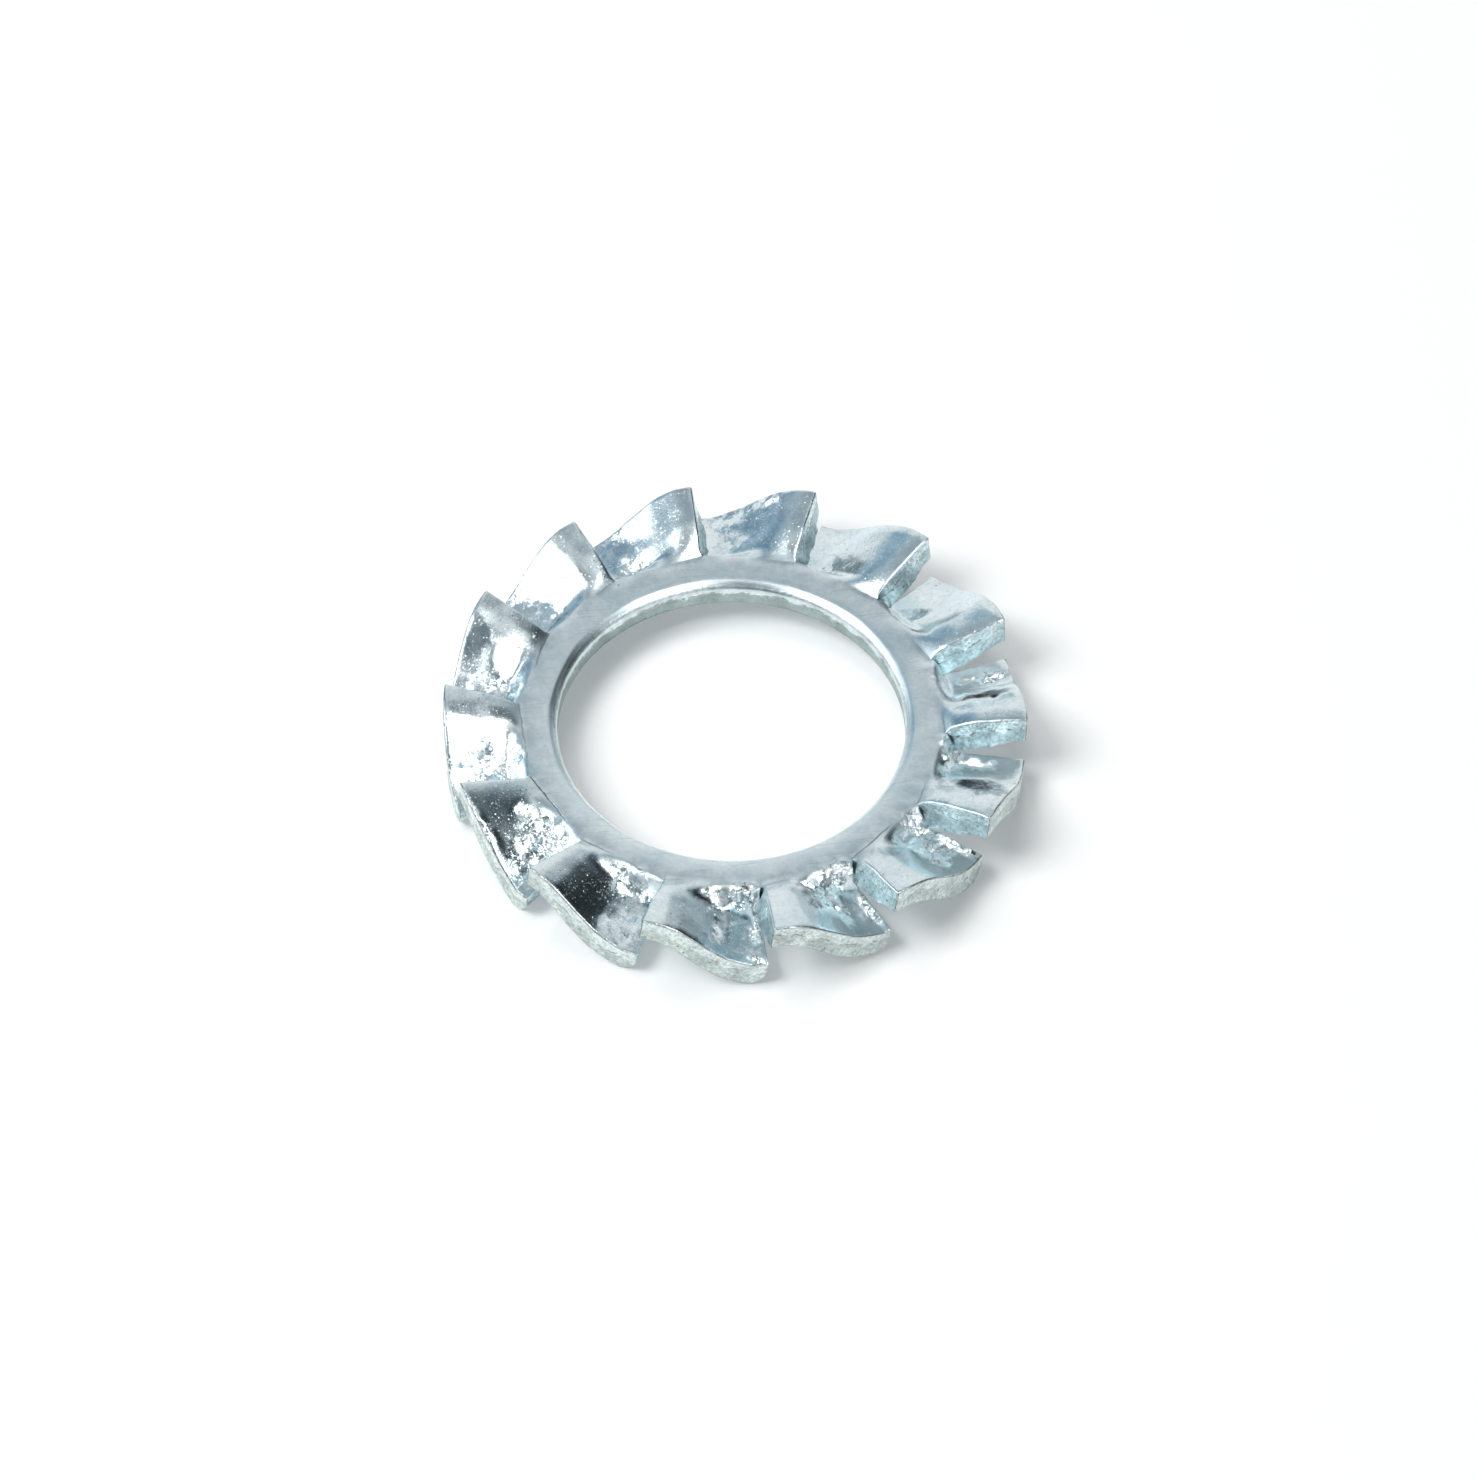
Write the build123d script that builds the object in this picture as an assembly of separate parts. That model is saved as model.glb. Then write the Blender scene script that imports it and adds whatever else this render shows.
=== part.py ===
from build123d import *

import os
from math import cos, pi, tan

# External-tooth lock washer, serrated pattern, for a 10 mm screw.
# Units mm, +Z up.  The origin is on the bore axis, in the plane the tooth feet stand on.
# One piece: blanked from sheet, slit between the teeth, and each tooth twisted in a
# die, so that its leading end stands above the ring and its trailing end below it.

# --- driving dimensions --------------------------------------------------------
thickness = 0.9          # sheet
bore_diameter = 10.6     # clearance on a 10 mm screw
outer_diameter = 17.6    # over the teeth
tooth_count = 14
slit_width = 0.12        # gap sheared between neighbouring teeth
tooth_lift = 0.87        # rise of a tooth's high end above the ring, and drop of its low end

edge_break = 0.06        # bevel the piercing punch leaves on the bore's upper edge
foot_radius = 0.7        # rounding of the low end's lower corner, at the outer edge
high_flat = 0.38         # level part of the high end, along the outer edge
low_flat = 0.25          # level part of the low end, along the outer edge
slope_shift = 0.08       # middle of the slope, from the tooth's centre line
slope_angle = 40         # steepest part of the slope, at the outer edge
step_width = 1.1         # radial width over which the teeth leave the plane of the ring
root_diameter = 13.0     # circle on which the slits end

# --- derived -------------------------------------------------------------------
ring_bottom = tooth_lift
ring_top = ring_bottom + thickness
overall_height = ring_top + tooth_lift
outer_radius = outer_diameter / 2
root_radius = root_diameter / 2
half_pitch = pi / tooth_count
root_station = root_radius * cos(half_pitch)     # tooth roots are the flats of a polygon
corner_station = outer_radius * cos(half_pitch)  # where a tooth's outer corners are cut
tooth_length = corner_station - root_station
bend_steps = 4                                   # straight spans that make up the bend at the root
underside_shift = thickness * tan(slope_angle * pi / 360)   # keeps the slope at sheet thickness


def tooth_half_width(station):
    """Half the width of a tooth across its centre line, at a distance from the axis."""
    return station * tan(half_pitch) - slit_width / 2 / cos(half_pitch)


def lift_at(station, fullness):
    """How far a tooth's end has left the ring: nothing at the root, all at the outer corners."""
    along = min(1.0, (station - root_station) / tooth_length)
    near_root = min(1.0, (station - root_station) / step_width)
    step = near_root * (2 - near_root)
    return tooth_lift * (fullness * step + (1 - fullness) * along)


def s_curve(left, right, middle, scale, rise, fall, level):
    """A falling S: level at both ends, steepest at the middle."""
    return Bezier(
        (left, level + rise),
        (left + high_flat * scale, level + rise),
        (middle, level + rise),
        (middle, level - fall),
        (right - low_flat * scale, level - fall),
        (right, level - fall),
    )


def tooth_section(station):
    """Profile of a tooth on the plane across its centre line at this distance from the axis."""
    half = tooth_half_width(station)
    scale = half / tooth_half_width(outer_radius)
    rise = lift_at(station, fullness=0.25)
    fall = lift_at(station, fullness=0.65)
    share = (rise + fall) / (2 * tooth_lift)
    foot = foot_radius * (0.4 + 0.6 * share)
    middle = slope_shift * scale
    with BuildSketch(Plane(origin=(station, 0, 0), x_dir=(0, 1, 0), z_dir=(1, 0, 0))) as section:
        with BuildLine():
            top = s_curve(-half, half, middle, scale, rise, fall, ring_top)
            bottom = s_curve(-half, half - foot, middle - underside_shift * share, scale,
                             rise, fall, ring_bottom)
            low_corner = RadiusArc(bottom @ 1, (half, ring_bottom - fall + foot), -foot)
            Line(low_corner @ 1, top @ 1)
            Line(top @ 0, bottom @ 0)
        make_face()
    return section.sketch


def make_ring():
    """Flat ring with the pierced bore and one flat for each tooth root."""
    with BuildPart() as ring:
        with BuildSketch(Plane.XY.offset(ring_bottom)):
            RegularPolygon(root_radius, tooth_count, rotation=180 / tooth_count)
            Circle(bore_diameter / 2, mode=Mode.SUBTRACT)
        extrude(amount=thickness)
        chamfer(ring.edges().filter_by(GeomType.CIRCLE).sort_by(Axis.Z)[-1], edge_break)
    return ring.part


def make_tooth():
    """One twisted tooth, lofted outwards from the ring and cut round at the outer edge."""
    stations = [root_station + step_width * index / bend_steps for index in range(bend_steps + 1)]
    stations += [corner_station, outer_radius + 0.01]
    body = loft([tooth_section(station).face() for station in stations], ruled=True)
    with BuildPart() as blank:
        Cylinder(outer_radius, overall_height + 1, align=(Align.CENTER, Align.CENTER, Align.MIN))
    return body & blank.part.moved(Location((0, 0, -0.5)))


def make_washer():
    tooth = make_tooth()
    washer = make_ring()
    teeth = [tooth.rotate(Axis.Z, 360 / tooth_count * index) for index in range(tooth_count)]
    return washer.fuse(*teeth).clean()


os.makedirs("parts", exist_ok=True)
washer = make_washer()
washer.label = "washer"
export_step(washer, "parts/washer.step")
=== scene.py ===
from collections import namedtuple
from math import comb, cos, pi, radians, sin

import bpy
import bmesh
import numpy as np
from mathutils import Matrix, Vector


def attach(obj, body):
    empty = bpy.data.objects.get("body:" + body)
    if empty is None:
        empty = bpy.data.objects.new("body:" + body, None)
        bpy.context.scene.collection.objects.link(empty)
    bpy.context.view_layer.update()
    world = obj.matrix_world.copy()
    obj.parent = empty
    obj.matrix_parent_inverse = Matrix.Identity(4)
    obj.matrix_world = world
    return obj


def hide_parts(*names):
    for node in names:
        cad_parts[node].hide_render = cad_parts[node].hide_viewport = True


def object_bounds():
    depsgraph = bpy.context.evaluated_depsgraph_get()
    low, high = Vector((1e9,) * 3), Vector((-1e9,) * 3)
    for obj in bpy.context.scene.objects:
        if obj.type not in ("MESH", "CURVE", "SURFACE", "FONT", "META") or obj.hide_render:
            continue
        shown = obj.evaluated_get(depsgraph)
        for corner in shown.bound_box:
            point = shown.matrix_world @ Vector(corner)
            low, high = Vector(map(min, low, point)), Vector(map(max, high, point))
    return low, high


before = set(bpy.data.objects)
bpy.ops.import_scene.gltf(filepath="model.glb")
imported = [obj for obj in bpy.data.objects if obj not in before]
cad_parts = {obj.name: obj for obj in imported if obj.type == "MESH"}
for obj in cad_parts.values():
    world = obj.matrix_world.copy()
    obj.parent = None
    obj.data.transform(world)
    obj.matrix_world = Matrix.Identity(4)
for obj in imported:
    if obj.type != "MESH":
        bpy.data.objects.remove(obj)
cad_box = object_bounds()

# Serrated external-tooth lock washer for a 10 mm screw, bright zinc plated.
# The CAD frame is kept: origin on the bore axis at floor level, +Z up.  Lengths are
# in millimetres until they reach a mesh, which is in metres.
MM = 0.001

# --- sizes of the washer ---------------------------------------------------------
OUTER = round(cad_box[1][0] / MM, 2)        # radius over the teeth
HEIGHT = round(cad_box[1][2] / MM, 2)       # from the floor to the high ends
SHEET = 0.9                                 # thickness
LIFT = round((HEIGHT - SHEET) / 2, 2)       # rise of a high end, drop of a low end
RING_BOTTOM = LIFT
BORE = 5.3                                  # radius
ROOT = 6.5                                  # radius at which the slits end
TEETH = 14
HALF_PITCH = pi / TEETH
SLIT = 0.06                                 # half the gap between two teeth
HALF_TOOTH = 1.897                          # half a tooth's width at the outer edge
FOOT = 0.7                                  # rounding under the low end
BEND = 1.1                                  # radial width of the bend under a high end
STEP = 0.6                                  # radial width of the step down to a low end
ROOT_LINE = ROOT * cos(HALF_PITCH)          # the bend at a tooth's root is a straight line
TOOTH_LENGTH = OUTER * cos(HALF_PITCH) - ROOT_LINE

# --- marks of the tools ------------------------------------------------------------
EDGE = 0.07              # radius worn on the sheared edges
BORE_EDGE = 0.22         # height of the bevel that the piercing punch leaves on the bore
BORE_BURR = 0.08         # height of the one on the bore's lower edge
BORE_STRETCH = 1.3       # their width, as a multiple of their height
BORE_POWER = 1.3         # how round they are: 1 is a straight slope, 2 a quarter circle
TEAR = 0.02              # how far the torn part of the outer band stands back
TOOTH_BURR = 0.30        # how far the cut under a high edge leans out
LOW_END_CRUSHED = 0.22   # how crushed every low end is, from 0 to 1

# One row for each tooth, counter-clockwise from +X: how far it reaches, the share of its
# rise and of its fall, how round the rise starts, how steep the fall starts, where the
# middle of the slope is, how sharply the slope ends, how early and evenly it falls, how
# wavy the die left it, and how far the middle swings towards the high edge at the root.
Tooth = namedtuple("Tooth", "reach rise fall roundness steepness middle kink early wavy swing")
TOOTH_ROWS = [Tooth(*row) for row in (
    (8.98, 1.00, 0.96, 0.45, 0.80, 0.08, 0.2, 0.0, 0.8, 0.10),
    (8.98, 0.97, 0.98, 0.35, 0.75, 0.10, 0.2, 0.0, 1.0, 0.10),
    (8.92, 1.00, 0.97, 0.40, 0.80, 0.06, 0.2, 0.2, 1.0, 0.10),
    (8.78, 0.99, 0.95, 0.30, 0.75, 0.05, 0.2, 0.2, 1.0, 0.10),
    (8.68, 1.00, 0.98, 0.40, 0.80, 0.04, 0.3, 0.0, 1.0, 0.10),
    (8.70, 0.98, 1.00, 0.35, 0.75, 0.06, 0.3, 0.0, 1.0, 0.10),
    (8.72, 0.99, 0.97, 0.30, 0.80, 0.10, 0.3, 0.0, 1.0, 0.10),
    (8.74, 0.98, 0.98, 0.35, 0.80, 0.10, 0.3, 0.0, 1.0, 0.10),
    (8.76, 0.99, 1.00, 0.10, 0.70, 0.08, 0.3, 0.9, 0.5, 0.10),
    (8.80, 0.99, 1.00, 0.20, 0.85, 0.00, 0.4, 0.2, 0.6, 0.15),
    (8.80, 1.00, 1.00, 0.45, 0.92, 0.08, 0.4, 0.0, 0.7, 0.10),
    (8.80, 1.00, 0.99, 0.50, 0.88, 0.08, 0.3, 0.0, 0.8, 0.10),
    (8.86, 0.99, 0.98, 0.45, 0.88, 0.08, 0.3, 0.0, 0.9, 0.10),
    (8.96, 1.00, 0.98, 0.40, 0.85, 0.08, 0.2, 0.0, 0.8, 0.10),
)]

# Patches that the die has crushed like foil or tilted, for each tooth: place across it (-1
# high edge, 1 low edge), place out along it, half its extent each way, how crushed, and how
# far the sheet leans out and towards the low edge.
CRUSHED = {
    0:  ((0.60, 1.95, 0.22, 0.45, 0.60, 0.20, -0.90), (0.74, 1.10, 0.15, 0.34, 0.60, 0.10, -0.75),
         (-0.12, 1.35, 0.22, 1.00, 0.10, 0.66, -0.78), (0.60, 0.15, 0.40, 0.30, 0.50, 0.00, 0.00)),
    1:  ((0.60, 0.40, 0.45, 0.50, 0.40, 0.00, 0.00), (0.60, 1.60, 0.40, 0.60, 0.20, 0.20, 0.00)),
    2:  ((0.50, 0.50, 0.50, 0.50, 0.40, 0.00, 0.00), (0.60, 1.50, 0.40, 0.80, 0.30, 0.20, 0.00)),
    3:  ((0.60, 1.50, 0.50, 1.00, 0.40, 0.20, 0.00), (0.30, 2.30, 0.90, 0.25, 0.60, 0.00, 0.00),
         (0.50, 0.30, 0.45, 0.40, 0.40, 0.00, 0.00)),
    4:  ((0.40, 0.50, 0.50, 0.50, 0.60, -0.20, 0.00), (0.60, 2.00, 0.50, 0.50, 0.40, 0.00, 0.00)),
    5:  ((0.50, 0.40, 0.45, 0.45, 0.50, 0.00, 0.00), (0.50, 1.80, 0.45, 0.60, 0.40, 0.00, 0.00)),
    6:  ((0.62, 0.80, 0.35, 0.80, 0.50, 0.00, 0.00), (-0.05, 1.00, 0.40, 0.60, 0.10, -0.20, -0.10),
         (-0.26, 1.98, 0.30, 0.38, 0.10, 0.10, 0.42)),
    7:  ((0.35, 1.20, 0.45, 0.90, 0.50, -0.10, 0.10), (0.62, 1.10, 0.13, 0.30, 0.30, 0.35, 0.50),
         (0.30, 0.30, 0.40, 0.40, 0.60, 0.00, 0.00)),
    8:  ((-0.22, 0.90, 0.18, 0.30, 0.70, 0.30, 0.20), (0.10, 0.60, 0.26, 0.35, 0.90, 0.05, 0.15),
         (0.47, 0.34, 0.34, 0.32, 0.90, -0.25, 0.00), (0.32, 0.95, 0.32, 0.38, 0.90, 0.26, 0.00),
         (0.50, 1.70, 0.34, 0.50, 0.60, 0.00, -0.04), (-0.10, 2.24, 0.16, 0.14, 0.90, 0.30, 0.20),
         (-0.42, 2.22, 0.10, 0.12, 0.80, 0.30, 0.20)),
    9:  ((0.08, 0.32, 0.20, 0.26, 0.90, -0.43, 0.10), (0.25, 0.65, 0.14, 0.20, 0.70, 0.23, 0.17),
         (0.50, 0.16, 0.28, 0.14, 0.60, -0.46, -0.07), (0.72, 0.56, 0.22, 0.12, 0.90, 0.00, -0.20),
         (0.52, 0.38, 0.28, 0.08, 0.30, 0.00, 0.00), (0.60, 1.45, 0.32, 0.90, 0.30, -0.15, -0.22),
         (0.34, 2.05, 0.26, 0.50, 0.30, 0.05, -0.36), (0.66, 1.85, 0.20, 0.20, 0.70, -0.05, -0.20)),
    10: ((-0.65, 1.20, 0.26, 1.20, 0.00, 0.07, 0.12), (-0.27, 0.56, 0.18, 0.18, 0.20, 0.27, 0.05),
         (-0.01, 0.26, 0.24, 0.12, 0.90, 0.00, 0.00), (0.12, 0.62, 0.14, 0.14, 0.90, 0.38, -0.28),
         (0.66, 0.08, 0.30, 0.16, 1.10, -0.21, 0.20), (0.66, 0.30, 0.28, 0.18, 1.10, -0.55, 0.05),
         (0.66, 0.56, 0.30, 0.09, 0.30, -0.25, 0.45), (0.10, 1.55, 0.13, 0.50, 0.50, 0.00, -0.50),
         (0.45, 1.30, 0.25, 0.50, 0.20, 0.00, 0.00), (0.82, 1.10, 0.13, 0.50, 0.90, 0.50, 0.30),
         (0.78, 2.08, 0.16, 0.18, 0.90, 0.10, 0.00)),
    11: ((-0.05, 0.38, 0.28, 0.14, 0.70, 0.17, -0.30), (0.54, 0.08, 0.26, 0.14, 1.10, -0.22, -0.03),
         (0.54, 0.30, 0.24, 0.14, 1.10, -0.36, -0.20), (0.90, 0.10, 0.20, 0.18, 1.10, -0.22, 0.06),
         (0.75, 0.50, 0.25, 0.10, 0.40, -0.35, 0.42), (0.04, 1.00, 0.24, 0.50, 0.50, 0.42, -0.22),
         (0.43, 1.40, 0.12, 0.55, 0.70, 0.40, -0.05), (0.62, 1.37, 0.26, 0.60, 0.45, 0.42, 0.22),
         (0.94, 1.40, 0.08, 0.80, 1.00, 0.50, 0.30), (0.37, 1.40, 0.13, 0.45, 0.40, 0.44, 0.00),
         (0.38, 0.38, 0.13, 0.14, 0.40, -0.42, 0.09), (0.10, 0.55, 0.16, 0.16, 0.50, -0.10, 0.10)),
    12: ((0.17, 0.52, 0.28, 0.22, 0.40, 0.17, -0.25), (0.78, 0.22, 0.30, 0.36, 1.10, -0.35, -0.10),
         (0.60, 1.25, 0.35, 0.70, 0.70, 0.10, 0.00), (0.28, 1.62, 0.22, 0.45, 0.70, 0.42, -0.18),
         (0.33, 0.97, 0.16, 0.26, 0.40, 0.60, -0.22), (0.90, 1.30, 0.12, 0.90, 1.10, 0.50, 0.00)),
    13: ((-0.10, 0.50, 0.35, 0.35, 0.30, 0.00, 0.00), (0.75, 0.35, 0.35, 0.45, 0.70, 0.00, 0.00),
         (-0.12, 1.55, 0.40, 1.10, 0.15, 0.72, -0.45), (0.70, 1.08, 0.14, 0.60, 0.30, 0.32, -0.76),
         (0.45, 0.25, 0.12, 0.15, 0.30, -0.50, -0.47)),
}

# Single dents and lumps, for each tooth: place across and out, size across and out, height.
DENTS = {
    0:  ((-0.45, 1.20, 0.16, 0.90, -0.04), (0.20, 0.90, 0.20, 0.60, 0.05),
         (0.88, 0.10, 0.20, 0.15, 0.10)),
    1:  ((0.10, 1.30, 0.35, 0.80, -0.06), (0.55, 1.20, 0.25, 0.70, 0.05)),
    2:  ((0.40, 1.30, 0.30, 0.50, 0.07),),
    3:  ((0.40, 1.80, 0.30, 0.30, 0.07), (-0.10, 1.30, 0.30, 0.60, -0.05)),
    4:  ((0.30, 1.20, 0.35, 0.40, 0.07),),
    5:  ((0.20, 1.40, 0.30, 0.50, -0.06),),
    6:  ((0.10, 1.20, 0.30, 0.50, 0.06),),
    7:  ((0.10, 1.40, 0.40, 0.40, -0.07),),
    8:  ((-0.32, 2.32, 0.16, 0.14, 0.07), (0.02, 2.25, 0.18, 0.16, 0.09)),
    9:  ((0.60, 0.08, 0.55, 0.12, 0.07), (0.62, 0.36, 0.55, 0.10, -0.08)),
    10: ((0.95, 1.10, 0.10, 0.80, 0.07), (0.66, 0.12, 0.35, 0.16, 0.10),
         (0.14, 1.50, 0.12, 0.50, -0.04), (0.93, 2.00, 0.25, 0.25, 0.09),
         (0.36, 1.10, 0.14, 0.60, 0.05)),
    11: ((0.96, 1.40, 0.09, 0.90, 0.08), (0.42, 1.15, 0.14, 0.55, 0.07),
         (0.75, 1.35, 0.16, 0.55, -0.07), (0.80, 0.10, 0.30, 0.16, 0.09)),
    12: ((0.94, 1.30, 0.12, 1.00, 0.10), (0.35, 1.20, 0.20, 0.60, -0.06),
         (0.80, 1.10, 0.22, 0.50, 0.07)),
    13: ((0.96, 1.40, 0.08, 0.90, 0.05), (-0.35, 0.90, 0.20, 0.70, -0.05),
         (0.10, 1.00, 0.18, 0.70, 0.05), (0.85, 0.08, 0.20, 0.15, 0.10)),
}

# Teeth whose root line the die's edge has scored, painted dark there as the shade in the crease: how deep
# and dark, and how far across it runs.
SCORE_AND_SHADE = {6: (0.5, 0.0), 7: (0.5, 0.6), 8: (1.0, 0.35), 9: (0.7, -0.35),
          10: (0.35, -0.6), 11: (0.3, -0.7), 12: (0.7, 0.2), 13: (0.5, -0.5)}
LIGHT_SCORE_AND_SHADE = (0.3, -0.4)     # all the others


# --- shapes ------------------------------------------------------------------------

def ease(x):
    """0 up to 0, 1 from 1 on, and 3x^2 - 2x^3 between."""
    x = np.clip(x, 0, 1)
    return x * x * (3 - 2 * x)


def lattice_corners(x, y, cell, seed):
    """The random heights at the four corners of each point's square, and its place in it."""
    count = 64               # squares each way before the lattice repeats
    heights = np.random.default_rng(seed).uniform(-1, 1, (count, count))
    gx, gy = x / cell + 100, y / cell + 100
    i, j = np.floor(gx).astype(int), np.floor(gy).astype(int)
    corners = [heights[(i + di) % count, (j + dj) % count] for di in (0, 1) for dj in (0, 1)]
    return corners, gx - i, gy - j


def folds(x, y, cell, seed):
    """Random heights on a square lattice, each square filled in by two flat triangles, so
    that the surface is flat facets meeting in creases, as in crumpled sheet."""
    (h00, h01, h10, h11), fx, fy = lattice_corners(x, y, cell, seed)
    return np.where(fx > fy, h00 + (h10 - h00) * fx + (h11 - h10) * fy,
                    h00 + (h11 - h01) * fx + (h01 - h00) * fy)


def swells(x, y, cell, seed):
    """Random heights on a square lattice, filled in smoothly."""
    (h00, h01, h10, h11), fx, fy = lattice_corners(x, y, cell, seed)
    fx, fy = ease(fx), ease(fy)
    return (h00 * (1 - fx) + h10 * fx) * (1 - fy) + (h01 * (1 - fx) + h11 * fx) * fy


def slope_share(across, middle, kink, early):
    """1 at a tooth's high end and 0 at its low end: a Bezier curve of degree 5 with level
    ends, read by its distance across the tooth, mixed with a straight fall that ends in a
    kink where the die's edge stood, and with one that starts at the high edge and steepens
    evenly up to a kink close to the low edge."""
    t = np.linspace(0, 1, 200)
    stops = (-1, -0.8, 0, 0, 0.87, 1)
    degree = len(stops) - 1
    weights = [comb(degree, k) * t**k * (1 - t) ** (degree - k) for k in range(degree + 1)]
    places = sum(weight * stop for weight, stop in zip(weights, stops))
    smooth = np.interp(across - middle, places, sum(weights[:3]))
    bent = np.interp(across - middle, (-0.75, -0.5, 0.22, 0.75), (1, 0.9, 0.14, 0))
    share = smooth + kink * (bent - smooth)
    fallen = np.clip((across + 1) / 1.72, 0, 1)
    return share + early * (1 - fallen**1.55 - share)


def rise_share(out, roundness):
    """Share of its whole rise that a high end has at a distance out from the root: part of
    it comes in the bend, and the rest evenly along the tooth."""
    near = np.clip(out / BEND, 0, 1)
    return roundness * near * (2 - near) + (1 - roundness) * np.clip(out / TOOTH_LENGTH, 0, 1)


def fall_share(out, steepness):
    """Share of its whole fall that a low end has: most of it in the step."""
    return steepness * ease(out / STEP) + (1 - steepness) * np.clip(out / TOOTH_LENGTH, 0, 1)


def sheet_height(across, out, tooth):
    """Height of the twisted sheet above the flat ring: rise times S less fall times 1 - S."""
    middle = tooth.middle - tooth.swing * (1 - out / TOOTH_LENGTH)
    share = slope_share(across, middle, tooth.kink, tooth.early)
    return LIFT * (tooth.rise * rise_share(out, tooth.roundness) * share
                   - tooth.fall * fall_share(out, tooth.steepness) * (1 - share))


def off_joint(across, out):
    """Nothing where two teeth join the ring, so that they meet without a step, and 1 from
    0.1 mm out along the tooth or a fifth of its half width in from its edge."""
    return np.maximum(ease(out / 0.1), ease((1 - np.abs(across)) / 0.2))


def crushed_share(across, out, number):
    """How crushed each point is, the strongest of the tooth's patches, each a soft oval with a
    ragged outline, over a light crumpling of every low end, and nothing where two teeth join
    the ring.  Then its lean out and towards the low edge, each patch's own painted over those
    before it."""
    crushed = LOW_END_CRUSHED * ease((across - 0.1) / 0.5) * ease(out / 0.3) * ease((2.4 - out) / 0.5)
    lean_out = lean_across = 0.0 * out
    level = across * 1.6             # in millimetres, as out is
    ragged_across = (across + 0.08 * folds(level, out, 0.42, number + 40)
                     + 0.06 * folds(level, out, 0.15, number + 45))
    ragged_out = (out + 0.10 * folds(level, out, 0.38, number + 50)
                  + 0.08 * folds(level, out, 0.13, number + 55))
    for at_across, at_out, wide, long, strength, outwards, sideways in CRUSHED[number]:
        off_across, off_out = (ragged_across - at_across) / wide, (ragged_out - at_out) / long
        oval = np.exp(-(off_across**2 + off_out**2) ** 1.5)
        crushed = np.maximum(crushed, strength * oval)
        lean_out = lean_out + oval * (outwards - lean_out)
        lean_across = lean_across + oval * (sideways - lean_across)
    joined = np.maximum(ease(out / 0.1), ease((1 - np.abs(across)) / 0.2) * ease((out + 0.4) / 0.4))
    return crushed * joined, lean_out * joined, lean_across * joined


def hammered(x, y, across, out, number, crushed):
    """Height that the die adds to the smooth twist: waves 1.1 and 0.45 mm apart on the whole
    tooth, single dents, each a bell curve, and in the crushed patches facets of 0.36 mm broken
    by facets of 0.15 mm, whose lines the swells bend."""
    waves = 0.035 * swells(x, y, 1.1, number + 7) + 0.014 * swells(x, y, 0.45, number + 8)
    height = TOOTH_ROWS[number].wavy * ease(out / 0.3) * waves
    for at_across, at_out, wide, long, rise in DENTS[number]:
        off_across, off_out = (across - at_across) / wide, (out - at_out) / long
        height = height + rise * np.exp(-off_across**2 - off_out**2)
    bent_x = x + 0.10 * swells(x, y, 0.4, number + 30)
    bent_y = y + 0.10 * swells(x, y, 0.4, number + 60)
    facets = 0.06 * folds(bent_x, bent_y, 0.36, number) + 0.022 * folds(bent_x, bent_y, 0.15, number + 90)
    return height * off_joint(across, out) + crushed * (facets - 0.02)


def ring_dish(radius, out):
    """The twisting draws the ring into a shallow dish: it rises evenly from the bore, and near
    the roots of the teeth it rolls down again by a square.  It fades out along the teeth."""
    slope, roll, roll_start = 0.08, 0.18, 5.9
    rise = slope * (radius - BORE) - roll * np.clip(radius - roll_start, 0, 0.6) ** 2
    return rise * (1 - ease(out / 0.8))


def wear_edges(angle, radius, depth, past, worn):
    """Rounds the worn edges and bevels the bore.  past is how far a point stands past where
    its edge starts to curve: sideways, outwards and through the sheet.  Each point is drawn
    in until the p-norm of past is the edge's size, where p of 2 is a round edge.  Then how
    near it is to the middle of an edge, 1 on the outer rim and -1 on a slit or the bore."""
    past_side, past_out, past_face = past
    power = np.where(past_out < 0, BORE_POWER, 2.0)
    size = (np.abs(past_side)**power + np.abs(past_out)**power + np.abs(past_face)**power) ** (1 / power)
    pull = np.where(size > 0, worn / np.where(size > 0, size, 1) - 1, 0)
    fade = np.where(past_side != 0, ease((radius * np.cos(angle) - ROOT_LINE) / 0.15), 1.0)
    middle, reach = 1.414, 0.414     # size over worn in the middle of an edge, and how far it fades
    edge = np.clip(1 - np.abs(size / worn - middle) / reach, 0, 1) * fade * np.where(past_out > 0, 1, -1)
    angle = angle + pull * past_side * fade / radius
    radius = radius + pull * past_out * fade * np.where(past_out < 0, BORE_STRETCH, 1)
    return angle, radius, depth - pull * past_face * fade, edge


def tear_faces(number, angle, radius, depth, past_side, edge_angle):
    """Roughens the sheared faces.  Below 0.3 mm the outer band is torn and stands back, the
    low edge's cut is ragged, and the cut under a high edge leans out, by a power of its
    depth, and ends in a ragged burr."""
    outer = radius > TOOTH_ROWS[number].reach - 0.01
    torn = ease((depth - 0.3) / 0.25) * ease((SHEET - depth) / 0.1)
    radius = radius - np.where(outer, torn * (TEAR + 0.012 * folds(angle * 9 + number, depth, 0.13, 5)), 0)
    ragged = np.where(past_side >= EDGE * 0.99, 1.0, 0.0) * ease((radius - ROOT - 0.1) / 0.3)
    angle = angle - ragged * 0.022 * (1 + folds(radius, depth * 0.6, 0.14, number + 11)) / radius
    under = ease((-angle / edge_angle - 0.8) / 0.2) * (depth / SHEET) ** 1.3
    along = radius - ROOT
    lean = TOOTH_BURR + 0.05 * folds(radius, depth * 0.3, 0.12, number + 21)
    burr = ease(along / 0.4) * (1 - 0.6 * ease((along - 1.3) / 0.9)) * lean
    return angle - under * burr / radius, radius


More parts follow.
